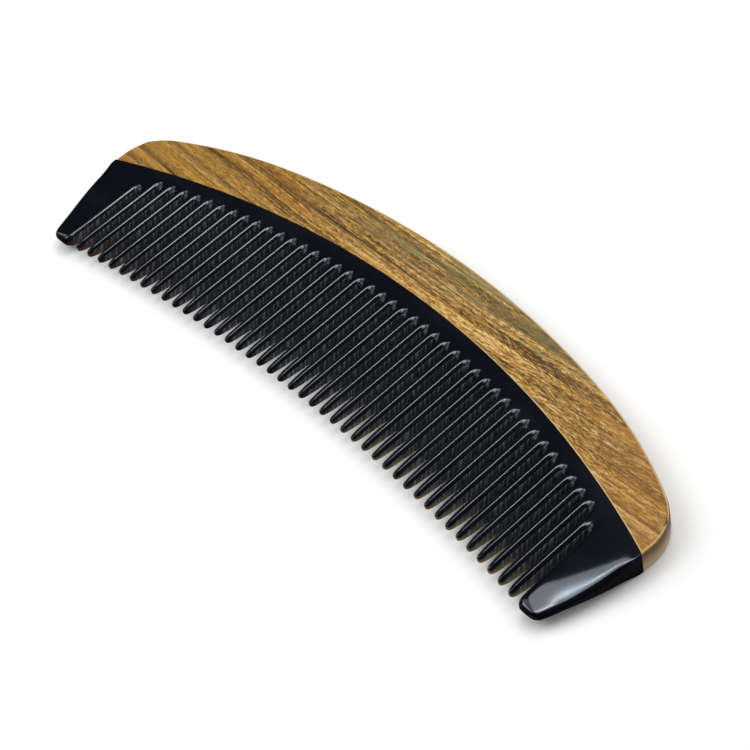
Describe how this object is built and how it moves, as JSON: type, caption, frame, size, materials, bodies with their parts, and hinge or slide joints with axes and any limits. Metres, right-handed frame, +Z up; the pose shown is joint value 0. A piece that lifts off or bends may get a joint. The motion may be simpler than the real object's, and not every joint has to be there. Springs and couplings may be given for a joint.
{
  "type": "horn dressing comb with wooden back",
  "caption": "Flat dressing comb: a dark horn plate of long tapering teeth between two wide end guards, glued along an arc into a crescent-shaped wooden back.",
  "frame": {"origin": "centre of the comb's box, on the plane it lies on", "axes": "+X along the comb from one end guard to the other, +Y from the teeth to the back, +Z up out of the face"},
  "size_m": [0.1694, 0.0532, 0.006],
  "materials": {
    "wood": "oiled and polished, golden brown with brown and olive streaks",
    "horn": "polished near-black horn, amber where the teeth are thin"
  },
  "bodies": {
    "root": {"wood_back": "wood", "horn_plate": "horn"}
  },
  "joints": []
}
